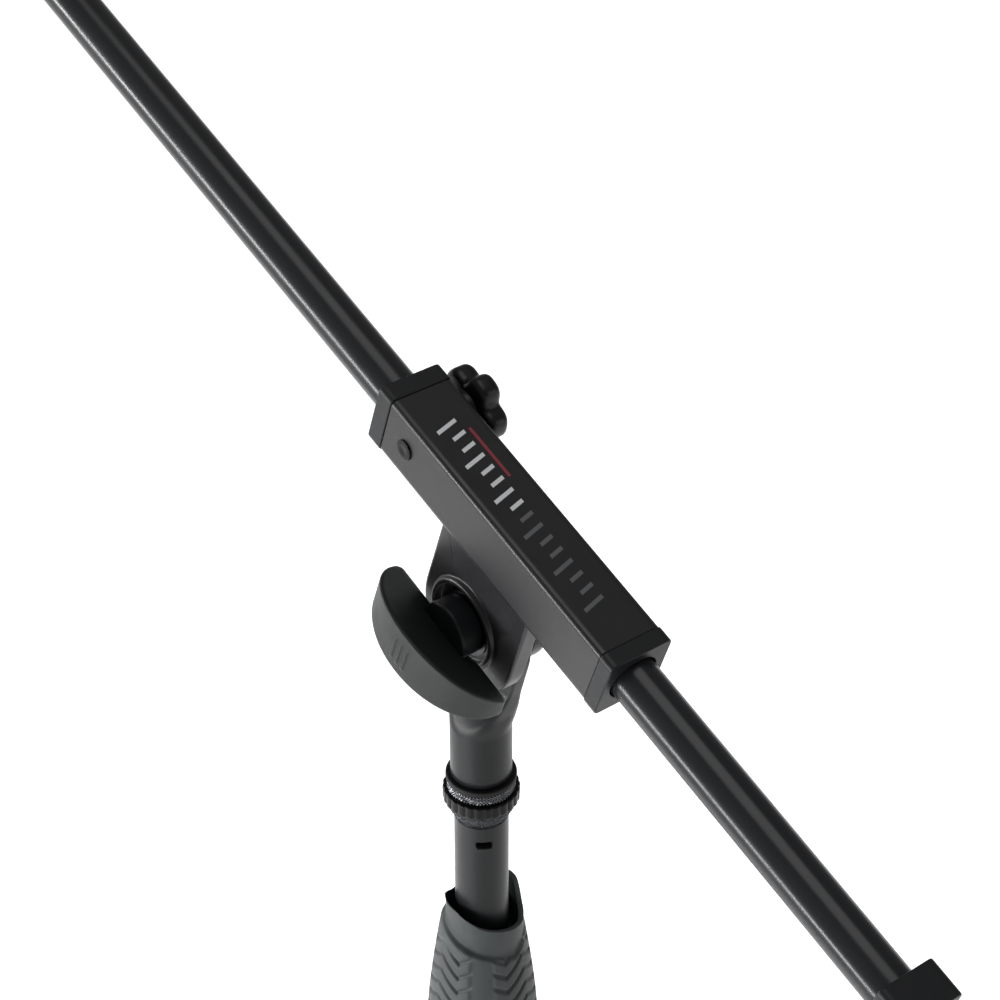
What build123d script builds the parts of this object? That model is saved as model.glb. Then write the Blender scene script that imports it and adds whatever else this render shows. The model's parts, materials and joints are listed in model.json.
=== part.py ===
from build123d import *
from math import cos, hypot, radians, sin
import os

os.makedirs("parts", exist_ok=True)

# A boom microphone stand: folding tripod, telescoping mast with a twist clutch, and a boom
# that slides and turns in a clamp housing, which tilts on a pivot at the top of the mast.
# +Z is up, +X points to the microphone end of the boom, +Y to the tilt handle.
# The origin is on the mast's axis, at the floor. All sizes are in millimetres.

# Hand knobs
knob_scallop = 3.4  # depth of the finger hollows
knob_scallop_share = 0.7  # of the distance between lobes
knob_lobe_edge = 2.0
knob_face_edge = 1.5
knob_end_wall = 4.0  # plastic beyond the end of the screw
screw_edge = 0.6

# Clearances
running_fit = 0.05  # radial, between a part that turns or slides and its guide
body_gap = 0.3  # between faces of bodies that move past each other
seat_fit = 0.02  # radial, for parts that are pressed or glued together

# Legs and hub
leg_angles = {"front": 0, "left": 120, "right": 240}
leg_length = 288.0  # hinge to the end of the leg tube
leg_slope = 10.5  # below the horizontal
leg_tube_radius = 8.0
leg_tube_wall = 1.2
foot_wall = 3.0
foot_grip_length = 26.0
foot_end_thickness = 6.0
foot_edge = 3.0
sole_thickness = 2.0  # rubber under the end of the leg tube
hinge_pin_radius = 3.0
tongue_width = 10.0
tongue_eye_radius = 8.5
tongue_reach = 24.0  # hinge to the shoulder that the leg tube butts on
tongue_inset = 1.0  # the flat part is lower than the tube by this, above and below
tongue_collar = 4.0
spigot_length = 22.0
hub_wall = 11.6
hub_top_edge = 3.0
hub_bottom_edge = 2.0
ear_reach = 12.0  # hub's outside to the leg hinge
ear_wall = 2.0
ear_thickness = 6.0
hub_below_hinge = 20.0
hub_above_hinge = 24.0
lock_boss_radius = 9.0
lock_boss_length = 8.0
lock_screw_radius = 4.0
lock_knob_radius = 17.0
lock_knob_length = 16.0
lock_knob_neck = 4.0
lock_knob_lobes = 5

# Mast
outer_tube_wall = 1.2
outer_tube_length = 838.0
tube_stub = 6.0  # outer tube below the hub
plug_flange = 5.0
plug_proud = 1.0
plug_depth = 15.0
plug_edge = 2.0
pole_radius = 9.5
pole_wall = 1.2
pole_clearance = 48.0  # lower end of the outer tube to the pole's lower end, at rest
pole_reveal = 46.0  # pole between the clutch lip and the thread flange at rest
bush_wall = 0.65
bush_length = 30.0
bush_lip = 3.0
crimp_width = 5.6
crimp_height = 4.2
crimp_drop = 7.5  # flange to the middle of the crimp slot
crimp_facing = 148.0  # direction that the crimp slot faces, from +X

# Twist clutch
sleeve_wall = 1.5
sleeve_length = 40.0
sleeve_drop = 6.0  # sleeve below the end of the outer tube
collet_length = 14.0
collet_slot = 1.6
collet_taper = 0.8  # radius lost along the collet's cone
clutch_wall = 1.6
clutch_skirt = 62.0  # clutch body below the end of the outer tube
clutch_crown_wall = 1.1  # wall round the collet
clutch_lid = 3.0
grip_lip_rise = 30.0  # front lip of the grip above the end of the outer tube
grip_lip_slope = 8.0  # the collar's rim rises towards its back
grip_rim_allowance = 1.0
grip_collar_wall = 1.1
grip_collar_height = 18.0
grip_shoulder = 2.2  # step between the collar and the tread
grip_waist_drop = 26.0  # widest part of the grip below the end of the outer tube
grip_waist_wall = 5.85
grip_tail_wall = 2.85
grip_tail_length = 6.0  # grip below the clutch body

# Thread, lock ring and washer between mast and swivel
stud_radius = 7.94
stud_length = 26.0
thread_edge = 1.0
insert_plug_length = 24.0
flange_height = 7.0
flange_rim = 4.56  # beyond the stud, as are the rings, the washer and the socket
ribbed_ring_rim = 5.46
ribbed_ring_height = 5.2
knurled_ring_rim = 4.26
knurled_ring_height = 3.5
washer_rim = 4.36
washer_height = 2.4

# Swivel and tilt pivot
socket_wall = 2.71
socket_length = 21.4
socket_to_pivot = 67.4
neck_width = 27.0
neck_inset = 0.3  # the neck's top is thinner than the head plate
head_foot_inset = 1.0  # the head plate's foot is narrower than the socket
head_foot_height = 0.5
head_radius = 20.5
head_thickness = 6.4
friction_disc_thickness = 1.2
friction_disc_radius = 18.0
pivot_bolt_radius = 4.0
bolt_head_radius = 7.2
bolt_head_height = 5.0
bolt_cover_radius = 19.6
bolt_cover_height = 8.0
bolt_cover_edge = 4.0

# Boom clamp housing
boom_angle = 19.0  # boom above the horizontal at rest
housing_side_wall = 1.5  # thinnest wall beside the bore
housing_top_wall = 1.8
housing_rear = 58.7  # pivot to the rear end of the housing, along the boom
housing_front = 52.0
housing_edge = 2.2
liner_space = 2.2  # radial, between the boom and the housing's bore
lug_half_width = 23.4
lug_shift = 2.0  # the lug's middle is behind the pivot
lug_thickness = 6.4
boss_radius = 16.0
boss_height = 1.5
recess_radius = 14.2
recess_depth = 3.0
lug_overlap = 2.0  # the lug runs this far into the housing
cap_side_proud = 0.3
cap_top_proud = 0.4
rear_cap_thickness = 6.0
front_cap_thickness = 6.8
cap_clearance = 0.7  # radial, round the boom
liner_length = 18.0
clamp_station = 46.0  # clamp screw ahead of the pivot, along the boom
clamp_screw_radius = 4.0
clamp_pad_thickness = 1.8
plug_station = 41.2
side_plug_radius = 3.6
side_plug_height = 0.8
side_plug_stem = 2.8
clamp_knob_radius = 14.0
clamp_knob_length = 8.0
clamp_knob_neck = 2.5
clamp_knob_neck_wall = 3.5
clamp_knob_stand_off = 1.6
clamp_knob_lobes = 5

# Tilt handle
handle_angle = 20.0
handle_half_span = 30.5
handle_depth = 20.7
handle_land = 2.4  # straight part of the handle's ends
handle_thickness = 21.0
handle_edge = 3.2
handle_hub_gap = 3.8  # radial, round the hub in the boss's recess
handle_core_inset = 1.4  # the core in the rubber is smaller than the hub
handle_core_length = 15.0
handle_core_end_wall = 3.0
handle_washer_thickness = 1.0
handle_washer_rim = 1.5
handle_gap = 1.5  # handle's inner face to the boss on the housing
handle_clearance = 2.14  # corner of the turning handle to the housing

# Boom
boom_radius = 8.0
boom_wall = 1.2
boom_rear = 198.6  # pivot to the rear end of the tube, along the boom
boom_front = 582.0
stop_width = 21.8
stop_height = 22.6
stop_length = 13.4
stop_end_wall = 2.2
fitting_flange_radius = 10.0
fitting_flange_length = 8.0
fitting_plug_length = 20.0
mic_thread_length = 18.0

# Radii that follow from the sizes above
outer_tube_bore = pole_radius + bush_wall + running_fit
outer_tube_radius = outer_tube_bore + outer_tube_wall
pole_bore = pole_radius - pole_wall
leg_tube_bore = leg_tube_radius - leg_tube_wall
boom_bore = boom_radius - boom_wall
hub_radius = outer_tube_radius + hub_wall
hinge_radius = hub_radius + ear_reach
ear_radius = tongue_eye_radius + ear_wall
lock_boss_reach = hub_radius + lock_boss_length
sleeve_radius = outer_tube_radius + sleeve_wall
clutch_bore = sleeve_radius + running_fit
clutch_radius = clutch_bore + clutch_wall
crown_bore = outer_tube_radius + body_gap
crown_radius = crown_bore + clutch_crown_wall
grip_collar_radius = crown_radius + grip_collar_wall
flange_radius = stud_radius + flange_rim
ribbed_ring_radius = stud_radius + ribbed_ring_rim
knurled_ring_radius = stud_radius + knurled_ring_rim
washer_radius = stud_radius + washer_rim
ring_bore = stud_radius + running_fit
socket_radius = stud_radius + socket_wall
clamp_knob_neck_radius = clamp_screw_radius + clamp_knob_neck_wall
handle_hub_radius = recess_radius - handle_hub_gap
handle_core_radius = handle_hub_radius - handle_core_inset

# Housing, round the boom
housing_bore_radius = boom_radius + liner_space
housing_width = 2 * (housing_bore_radius + housing_side_wall)
housing_height = 2 * (housing_bore_radius + housing_top_wall)
cap_width = housing_width + 2 * cap_side_proud
cap_height = housing_height + 2 * cap_top_proud
handle_sweep = hypot(handle_half_span, handle_thickness / 2)
boom_offset = handle_sweep + handle_clearance + housing_height / 2  # pivot to the boom's axis

# Heights that follow from the sizes above, from the floor up
slope_cos = cos(radians(leg_slope))
slope_sin = sin(radians(leg_slope))
hinge_height = leg_length * slope_sin + leg_tube_radius * slope_cos + sole_thickness
hub_bottom = hinge_height - hub_below_hinge
hub_height = hub_below_hinge + hub_above_hinge
tube_bottom = hub_bottom - tube_stub
tube_top = tube_bottom + outer_tube_length
grip_lip = tube_top + grip_lip_rise
pole_top = grip_lip + pole_reveal
flange_top = pole_top + flange_height
ribbed_ring_bottom = flange_top + body_gap
knurled_ring_bottom = ribbed_ring_bottom + ribbed_ring_height
washer_bottom = knurled_ring_bottom + knurled_ring_height + body_gap
socket_bottom = washer_bottom + washer_height
pivot_height = socket_bottom + socket_to_pivot
neck_top = pivot_height - lug_half_width - lug_shift - body_gap
pole_bottom = tube_bottom + pole_clearance

# Across the pivot, along Y
disc_face = -friction_disc_thickness / 2
lug_inner_face = friction_disc_thickness / 2
lug_outer_face = lug_inner_face + lug_thickness
boss_face = lug_outer_face + boss_height
head_face = disc_face - body_gap
head_back = head_face - head_thickness
handle_inner_face = boss_face + handle_gap
handle_washer_face = boss_face - recess_depth + body_gap
handle_hub_face = handle_washer_face + handle_washer_thickness

pivot = Vector(0, 0, pivot_height)
boom_direction = Vector(cos(radians(boom_angle)), 0, sin(radians(boom_angle)))
boom_up = Vector(-sin(radians(boom_angle)), 0, cos(radians(boom_angle)))


def hinge_plane(angle):
    """Vertical plane through a leg: x points outwards and y up, with the hinge at its origin."""
    outward = Vector(cos(radians(angle)), sin(radians(angle)), 0)
    sideways = Vector(sin(radians(angle)), -cos(radians(angle)), 0)
    origin = outward * hinge_radius + Vector(0, 0, hinge_height)
    return Plane(origin=origin, x_dir=outward, z_dir=sideways)


def leg_plane(angle, along):
    """Plane across a leg, at a distance along it from the hinge."""
    outward = Vector(cos(radians(angle)), sin(radians(angle)), 0)
    direction = outward * slope_cos - Vector(0, 0, slope_sin)
    sideways = Vector(-sin(radians(angle)), cos(radians(angle)), 0)
    hinge = outward * hinge_radius + Vector(0, 0, hinge_height)
    return Plane(origin=hinge + direction * along, x_dir=sideways, z_dir=direction)


def boom_plane(along):
    """Plane across the boom: x is +Y and y is up from the boom."""
    origin = pivot + boom_up * boom_offset + boom_direction * along
    return Plane(origin=origin, x_dir=(0, 1, 0), z_dir=boom_direction)


def lug_plane(face):
    """Plane of the housing's lug: x along the boom, y up from it, facing -Y."""
    return Plane(origin=(0, face, pivot_height), x_dir=boom_direction, z_dir=(0, -1, 0))


def pivot_plane(face):
    """Upright plane across the pivot's axis: x is +X and y is +Z, facing -Y."""
    return Plane(origin=(0, face, pivot_height), x_dir=(1, 0, 0), z_dir=(0, -1, 0))


def clamp_plane(face, station=clamp_station):
    """Plane across the clamp screw's axis, or the side plug's, facing -Y."""
    origin = pivot + boom_up * boom_offset + boom_direction * station + Vector(0, face, 0)
    return Plane(origin=origin, x_dir=boom_direction, z_dir=(0, -1, 0))


def lock_plane(reach):
    """Plane across the hub's lock screw, which points to -X."""
    return Plane(origin=(-reach, 0, lock_height), x_dir=(0, 1, 0), z_dir=(-1, 0, 0))


def lobed_profile(radius, scallop_depth, lobes):
    """Outline of a hand knob: a circle with shallow scallops between its lobes."""
    scallop_radius = radius * sin(radians(180 / lobes)) * knob_scallop_share
    centre = radius + scallop_radius - scallop_depth
    Circle(radius)
    with PolarLocations(centre, lobes):
        Circle(scallop_radius, mode=Mode.SUBTRACT)


def finish(piece, name):
    """Label a piece and write it as its own file."""
    piece.part.label = name
    export_step(piece.part, "parts/" + name + ".step")


# Tripod
lock_height = hinge_height
slot_width = tongue_width + 2 * body_gap
with BuildPart() as base_hub:
    with BuildSketch(Plane.XY.offset(hub_bottom)):
        Circle(hub_radius)
    extrude(amount=hub_height)
    for angle in leg_angles.values():
        with BuildSketch(hinge_plane(angle)):
            Circle(ear_radius)
            with Locations((-hinge_radius / 2, 0)):
                Rectangle(hinge_radius, 2 * ear_radius)
        extrude(amount=slot_width / 2 + ear_thickness, both=True)
    with BuildSketch(lock_plane(0)):
        Circle(lock_boss_radius)
    extrude(amount=lock_boss_reach)
    fillet(base_hub.faces().sort_by(Axis.Z)[-1].edges(), radius=hub_top_edge)
    fillet(base_hub.faces().sort_by(Axis.Z)[0].edges(), radius=hub_bottom_edge)
    for angle in leg_angles.values():
        slot_start = hinge_radius - tongue_eye_radius - body_gap
        with BuildSketch(hinge_plane(angle)):
            with Locations((slot_start - hinge_radius, 0)):
                Rectangle(hub_radius + hinge_radius, 2 * hub_height, align=(Align.MIN, Align.CENTER))
        extrude(amount=slot_width / 2, both=True, mode=Mode.SUBTRACT)
        with BuildSketch(hinge_plane(angle)):
            Circle(hinge_pin_radius + seat_fit)
        extrude(amount=slot_width / 2 + ear_thickness, both=True, mode=Mode.SUBTRACT)
    Hole(outer_tube_radius + seat_fit)
    with BuildSketch(lock_plane(0)):
        Circle(lock_screw_radius + running_fit)
    extrude(amount=lock_boss_reach, mode=Mode.SUBTRACT)
finish(base_hub, "base_hub")

with BuildPart() as leg_pins:
    for angle in leg_angles.values():
        with BuildSketch(hinge_plane(angle)):
            Circle(hinge_pin_radius)
        extrude(amount=slot_width / 2 + ear_thickness, both=True)
finish(leg_pins, "leg_pins")

for side, angle in leg_angles.items():
    with BuildPart() as leg_tongue:
        with BuildSketch(hinge_plane(angle)):
            Circle(tongue_eye_radius)
        extrude(amount=tongue_width / 2, both=True)
        with BuildSketch(leg_plane(angle, 0)):
            Rectangle(tongue_width, 2 * (leg_tube_radius - tongue_inset))
        extrude(amount=tongue_reach)
        with BuildSketch(leg_plane(angle, tongue_reach - tongue_collar)):
            Circle(leg_tube_radius)
        extrude(amount=tongue_collar)
        with BuildSketch(leg_plane(angle, tongue_reach)):
            Circle(leg_tube_bore - seat_fit)
        extrude(amount=spigot_length)
        with BuildSketch(hinge_plane(angle)):
            Circle(hinge_pin_radius + running_fit)
        extrude(amount=tongue_width, both=True, mode=Mode.SUBTRACT)
    finish(leg_tongue, "leg_tongue_" + side)

    with BuildPart() as leg_tube:
        with BuildSketch(leg_plane(angle, tongue_reach)):
            Circle(leg_tube_radius)
            Circle(leg_tube_bore, mode=Mode.SUBTRACT)
        extrude(amount=leg_length - tongue_reach)
    finish(leg_tube, "leg_tube_" + side)

    leg_axis = Axis((0, 0, 0), leg_plane(angle, 0).z_dir)
    with BuildPart() as leg_foot:
        with BuildSketch(leg_plane(angle, leg_length - foot_grip_length)):
            Circle(leg_tube_radius + foot_wall)
        extrude(amount=foot_grip_length + foot_end_thickness)
        fillet(leg_foot.faces().sort_by(leg_axis)[-1].edges(), radius=foot_edge)
        with BuildSketch(leg_plane(angle, leg_length - foot_grip_length)):
            Circle(leg_tube_radius + seat_fit)
        extrude(amount=foot_grip_length, mode=Mode.SUBTRACT)
        split(bisect_by=Plane.XY, keep=Keep.TOP)
    finish(leg_foot, "leg_foot_" + side)

lock_tip = outer_tube_radius + body_gap
lock_knob_face = lock_boss_reach + lock_knob_neck
lock_screw_end = lock_knob_face + lock_knob_length - knob_end_wall
with BuildPart() as hub_lock_screw:
    with BuildSketch(lock_plane(lock_tip)):
        Circle(lock_screw_radius)
    extrude(amount=lock_screw_end - lock_tip)
    chamfer(hub_lock_screw.edges().filter_by(GeomType.CIRCLE), length=screw_edge)
finish(hub_lock_screw, "hub_lock_screw")

with BuildPart() as hub_lock_knob:
    with BuildSketch(lock_plane(lock_knob_face)):
        lobed_profile(lock_knob_radius, knob_scallop, lock_knob_lobes)
    extrude(amount=lock_knob_length)
    fillet(hub_lock_knob.edges().filter_by(Axis.X), radius=knob_lobe_edge)
    fillet(hub_lock_knob.faces().sort_by(Axis.X)[0].edges(), radius=knob_face_edge)
    with BuildSketch(lock_plane(lock_boss_reach + body_gap)):
        Circle(lock_boss_radius)
    extrude(amount=lock_knob_neck - body_gap)
    with BuildSketch(lock_plane(lock_boss_reach)):
        Circle(lock_screw_radius + seat_fit)
    extrude(amount=lock_screw_end - lock_boss_reach, mode=Mode.SUBTRACT)
finish(hub_lock_knob, "hub_lock_knob")

# Mast
with BuildPart() as outer_tube:
    with BuildSketch(Plane.XY.offset(tube_bottom)):
        Circle(outer_tube_radius)
        Circle(outer_tube_bore, mode=Mode.SUBTRACT)
    extrude(amount=outer_tube_length)
finish(outer_tube, "outer_tube")

with BuildPart() as tube_plug:
    with BuildSketch(Plane.XY.offset(tube_bottom - plug_flange)):
        Circle(outer_tube_radius + plug_proud)
    extrude(amount=plug_flange)
    fillet(tube_plug.faces().sort_by(Axis.Z)[0].edges(), radius=plug_edge)
    with BuildSketch(Plane.XY.offset(tube_bottom)):
        Circle(outer_tube_bore - seat_fit)
    extrude(amount=plug_depth)
finish(tube_plug, "tube_plug")

with BuildPart() as inner_pole:
    with BuildSketch(Plane.XY.offset(pole_bottom)):
        Circle(pole_radius)
        Circle(pole_bore, mode=Mode.SUBTRACT)
    extrude(amount=pole_top - pole_bottom)
    slot_plane = Plane(
        origin=(0, 0, pole_top - crimp_drop),
        x_dir=(-sin(radians(crimp_facing)), cos(radians(crimp_facing)), 0),
        z_dir=(cos(radians(crimp_facing)), sin(radians(crimp_facing)), 0),
    )
    with BuildSketch(slot_plane.offset(pole_bore - pole_wall)):
        RectangleRounded(crimp_width, crimp_height, crimp_height / 3)
    extrude(amount=3 * pole_wall, mode=Mode.SUBTRACT)
finish(inner_pole, "inner_pole")

with BuildPart() as pole_bush:
    with BuildSketch(Plane.XY.offset(pole_bottom)):
        Circle(outer_tube_bore - running_fit)
        Circle(pole_radius + seat_fit, mode=Mode.SUBTRACT)
    extrude(amount=bush_length)
    with BuildSketch(Plane.XY.offset(pole_bottom - bush_lip)):
        Circle(outer_tube_bore - running_fit)
        Circle(pole_bore, mode=Mode.SUBTRACT)
    extrude(amount=bush_lip)
finish(pole_bush, "pole_bush")

with BuildPart() as thread_insert:
    with BuildSketch(Plane.XY.offset(pole_top - insert_plug_length)):
        Circle(pole_bore - seat_fit)
    extrude(amount=insert_plug_length)
    with BuildSketch(Plane.XY.offset(pole_top)):
        Circle(pole_radius)
    with BuildSketch(Plane.XY.offset(flange_top)):
        Circle(flange_radius)
    loft()
    with BuildSketch(Plane.XY.offset(flange_top)):
        Circle(stud_radius)
    extrude(amount=stud_length)
    chamfer(thread_insert.faces().sort_by(Axis.Z)[-1].edges(), length=thread_edge)
finish(thread_insert, "thread_insert")

with BuildPart() as ribbed_ring:
    with BuildSketch(Plane.XY.offset(ribbed_ring_bottom)):
        Circle(ribbed_ring_radius)
        Circle(ring_bore, mode=Mode.SUBTRACT)
    extrude(amount=ribbed_ring_height)
finish(ribbed_ring, "ribbed_ring")

with BuildPart() as knurled_ring:
    with BuildSketch(Plane.XY.offset(knurled_ring_bottom)):
        Circle(knurled_ring_radius)
        Circle(ring_bore, mode=Mode.SUBTRACT)
    extrude(amount=knurled_ring_height)
finish(knurled_ring, "knurled_ring")

with BuildPart() as socket_washer:
    with BuildSketch(Plane.XY.offset(washer_bottom)):
        Circle(washer_radius)
        Circle(ring_bore, mode=Mode.SUBTRACT)
    extrude(amount=washer_height)
finish(socket_washer, "socket_washer")

# Twist clutch
sleeve_top = tube_top - sleeve_drop
with BuildPart() as clutch_sleeve:
    with BuildSketch(Plane.XY.offset(sleeve_top - sleeve_length)):
        Circle(sleeve_radius)
        Circle(outer_tube_radius + seat_fit, mode=Mode.SUBTRACT)
    extrude(amount=sleeve_length)
finish(clutch_sleeve, "clutch_sleeve")

# The collet's cone is squeezed on the pole by the clutch body's lid.
with BuildPart() as clutch_collet:
    with BuildSketch(Plane.XY.offset(tube_top)):
        Circle(outer_tube_radius)
    with BuildSketch(Plane.XY.offset(tube_top + collet_length)):
        Circle(outer_tube_radius - collet_taper)
    loft()
    with BuildSketch(Plane.XY.offset(tube_top)):
        Circle(pole_radius + running_fit)
        with Locations((outer_tube_radius, 0)):
            Rectangle(outer_tube_radius, collet_slot)
    extrude(amount=collet_length, mode=Mode.SUBTRACT)
finish(clutch_collet, "clutch_collet")

clutch_bottom = tube_top - clutch_skirt
crown_bottom = sleeve_top + body_gap + clutch_wall
lid_bottom = tube_top + collet_length + body_gap
lid_top = lid_bottom + clutch_lid
with BuildPart() as clutch_body:
    with BuildSketch(Plane.XY.offset(clutch_bottom)):
        Circle(clutch_radius)
    extrude(amount=crown_bottom - clutch_bottom)
    with BuildSketch(Plane.XY.offset(crown_bottom)):
        Circle(crown_radius)
    extrude(amount=lid_top - crown_bottom)
    with BuildSketch(Plane.XY.offset(clutch_bottom)):
        Circle(clutch_bore)
    extrude(amount=sleeve_top + body_gap - clutch_bottom, mode=Mode.SUBTRACT)
    with BuildSketch(Plane.XY.offset(sleeve_top)):
        Circle(crown_bore)
    extrude(amount=lid_bottom - sleeve_top, mode=Mode.SUBTRACT)
    with BuildSketch(Plane.XY.offset(lid_bottom)):
        Circle(pole_radius + body_gap)
    extrude(amount=clutch_lid, mode=Mode.SUBTRACT)
finish(clutch_body, "clutch_body")

grip_bottom = clutch_bottom - grip_tail_length
grip_rise = 2 * grip_collar_radius * sin(radians(grip_lip_slope))
grip_rim = grip_lip + grip_rise + grip_rim_allowance
collar_bottom = grip_lip - grip_collar_height
with BuildPart() as clutch_grip:
    with BuildSketch(Plane.XZ):
        with BuildLine():
            outer = Spline(
                (clutch_radius + grip_tail_wall, grip_bottom),
                (clutch_radius + grip_waist_wall, tube_top - grip_waist_drop),
                (grip_collar_radius + grip_shoulder, collar_bottom),
                tangents=[(0.2, 1), (-0.25, 1)],
            )
            Polyline(
                outer @ 1,
                (grip_collar_radius, collar_bottom),
                (grip_collar_radius, grip_rim),
                (0, grip_rim),
                (0, grip_bottom),
                outer @ 0,
            )
        make_face()
    revolve(axis=Axis.Z)
    with BuildSketch(Plane.XY.offset(grip_bottom)):
        Circle(clutch_radius + seat_fit)
    extrude(amount=crown_bottom - grip_bottom, mode=Mode.SUBTRACT)
    with BuildSketch(Plane.XY.offset(grip_bottom)):
        Circle(crown_radius)
    extrude(amount=grip_rim - grip_bottom, mode=Mode.SUBTRACT)
    rim_plane = Plane.XY.offset(grip_lip + grip_rise / 2)
    split(bisect_by=rim_plane.rotated((grip_lip_slope, 0, 0)), keep=Keep.BOTTOM)
finish(clutch_grip, "clutch_grip")

# Swivel and tilt pivot
with BuildPart() as swivel:
    with BuildSketch(Plane.XY.offset(socket_bottom)):
        Circle(socket_radius)
    extrude(amount=socket_length)
    with BuildSketch(Plane.XY.offset(socket_bottom + socket_length)):
        Circle(socket_radius)
    with BuildSketch(Plane.XY.offset(neck_top)):
        with Locations((0, (head_face + head_back) / 2)):
            Ellipse(neck_width / 2, head_thickness / 2 - neck_inset)
    loft()
    with BuildSketch(pivot_plane(head_face)):
        Circle(head_radius)
        with Locations((0, socket_length - socket_to_pivot)):
            Rectangle(2 * (socket_radius - head_foot_inset), head_foot_height)
        make_hull()
    extrude(amount=head_thickness)
    with BuildSketch(pivot_plane(head_face)):
        Circle(pivot_bolt_radius + seat_fit)
    extrude(amount=head_thickness, mode=Mode.SUBTRACT)
    with BuildSketch(Plane.XY.offset(socket_bottom)):
        Circle(stud_radius + running_fit)
    extrude(amount=stud_length, mode=Mode.SUBTRACT)
finish(swivel, "swivel")

bolt_end = handle_inner_face + handle_core_length - handle_core_end_wall
with BuildPart() as pivot_bolt:
    with BuildSketch(pivot_plane(bolt_end)):
        Circle(pivot_bolt_radius)
    extrude(amount=bolt_end - head_back)
    with BuildSketch(pivot_plane(head_back)):
        RegularPolygon(bolt_head_radius, 6)
    extrude(amount=bolt_head_height)
finish(pivot_bolt, "pivot_bolt")

with BuildPart() as bolt_cover:
    with BuildSketch(pivot_plane(head_back)):
        Circle(bolt_cover_radius)
    extrude(amount=bolt_cover_height)
    fillet(bolt_cover.faces().sort_by(Axis.Y)[0].edges(), radius=bolt_cover_edge)
    with BuildSketch(pivot_plane(head_back)):
        Circle(bolt_head_radius + body_gap)
    extrude(amount=bolt_head_height + body_gap, mode=Mode.SUBTRACT)
finish(bolt_cover, "bolt_cover")

with BuildPart() as friction_disc:
    with BuildSketch(pivot_plane(lug_inner_face)):
        Circle(friction_disc_radius)
        Circle(pivot_bolt_radius + running_fit, mode=Mode.SUBTRACT)
    extrude(amount=friction_disc_thickness)
finish(friction_disc, "friction_disc")

# Boom clamp housing
housing_length = housing_rear + housing_front
lug_top = boom_offset - housing_height / 2 + lug_overlap
with BuildPart() as clamp_housing:
    with BuildSketch(boom_plane(-housing_rear)):
        RectangleRounded(housing_width, housing_height, housing_edge)
    extrude(amount=housing_length)
    with BuildSketch(lug_plane(lug_inner_face)):
        with Locations((-lug_shift, 0)):
            Circle(lug_half_width)
        with Locations((-lug_shift, lug_top / 2)):
            Rectangle(2 * lug_half_width, lug_top)
    extrude(amount=-lug_thickness)
    with BuildSketch(lug_plane(lug_outer_face)):
        Circle(boss_radius)
    extrude(amount=-boss_height)
    with BuildSketch(lug_plane(boss_face)):
        Circle(recess_radius)
    extrude(amount=recess_depth, mode=Mode.SUBTRACT)
    with BuildSketch(lug_plane(lug_inner_face)):
        Circle(pivot_bolt_radius + running_fit)
    extrude(amount=-lug_thickness, mode=Mode.SUBTRACT)
    with BuildSketch(boom_plane(-housing_rear)):
        Circle(housing_bore_radius)
    extrude(amount=housing_length, mode=Mode.SUBTRACT)
    with BuildSketch(clamp_plane(0)):
        Circle(clamp_screw_radius + running_fit)
    extrude(amount=housing_width / 2, mode=Mode.SUBTRACT)
    with BuildSketch(clamp_plane(0, plug_station)):
        Circle(side_plug_stem + seat_fit)
    extrude(amount=-housing_width / 2, mode=Mode.SUBTRACT)
finish(clamp_housing, "clamp_housing")

with BuildPart() as rear_cap:
    with BuildSketch(boom_plane(-housing_rear - rear_cap_thickness)):
        RectangleRounded(cap_width, cap_height, housing_edge)
        Circle(boom_radius + cap_clearance, mode=Mode.SUBTRACT)
    extrude(amount=rear_cap_thickness)
finish(rear_cap, "rear_cap")

with BuildPart() as front_cap:
    with BuildSketch(boom_plane(housing_front)):
        RectangleRounded(cap_width, cap_height, housing_edge)
        Circle(boom_radius + cap_clearance, mode=Mode.SUBTRACT)
    extrude(amount=front_cap_thickness)
finish(front_cap, "front_cap")

liner_starts = {"rear_liner": -housing_rear, "front_liner": housing_front - liner_length}
for liner_name, start in liner_starts.items():
    with BuildPart() as liner:
        with BuildSketch(boom_plane(start)):
            Circle(housing_bore_radius - seat_fit)
            Circle(boom_radius + running_fit, mode=Mode.SUBTRACT)
        extrude(amount=liner_length)
        with BuildSketch(clamp_plane(0)):
            Circle(clamp_screw_radius + body_gap)
        extrude(amount=housing_width / 2, mode=Mode.SUBTRACT)
    finish(liner, liner_name)

pad_face = -boom_radius - body_gap
with BuildPart() as clamp_pad:
    with BuildSketch(clamp_plane(pad_face)):
        Circle(clamp_screw_radius)
    extrude(amount=clamp_pad_thickness)
finish(clamp_pad, "clamp_pad")

with BuildPart() as side_plug:
    with BuildSketch(clamp_plane(housing_width / 2, plug_station)):
        Circle(side_plug_radius)
    extrude(amount=-side_plug_height)
    fillet(side_plug.faces().sort_by(Axis.Y)[-1].edges(), radius=side_plug_height / 2)
    with BuildSketch(clamp_plane(housing_width / 2, plug_station)):
        Circle(side_plug_stem)
    extrude(amount=housing_width / 2 - housing_bore_radius)
finish(side_plug, "side_plug")

screw_tip = pad_face - clamp_pad_thickness - body_gap
knob_neck_face = -housing_width / 2 - clamp_knob_stand_off
knob_face = knob_neck_face - clamp_knob_neck
clamp_screw_end = knob_face - clamp_knob_length + knob_end_wall
with BuildPart() as clamp_screw:
    with BuildSketch(clamp_plane(screw_tip)):
        Circle(clamp_screw_radius)
    extrude(amount=screw_tip - clamp_screw_end)
    chamfer(clamp_screw.edges().filter_by(GeomType.CIRCLE), length=screw_edge)
finish(clamp_screw, "clamp_screw")

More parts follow.
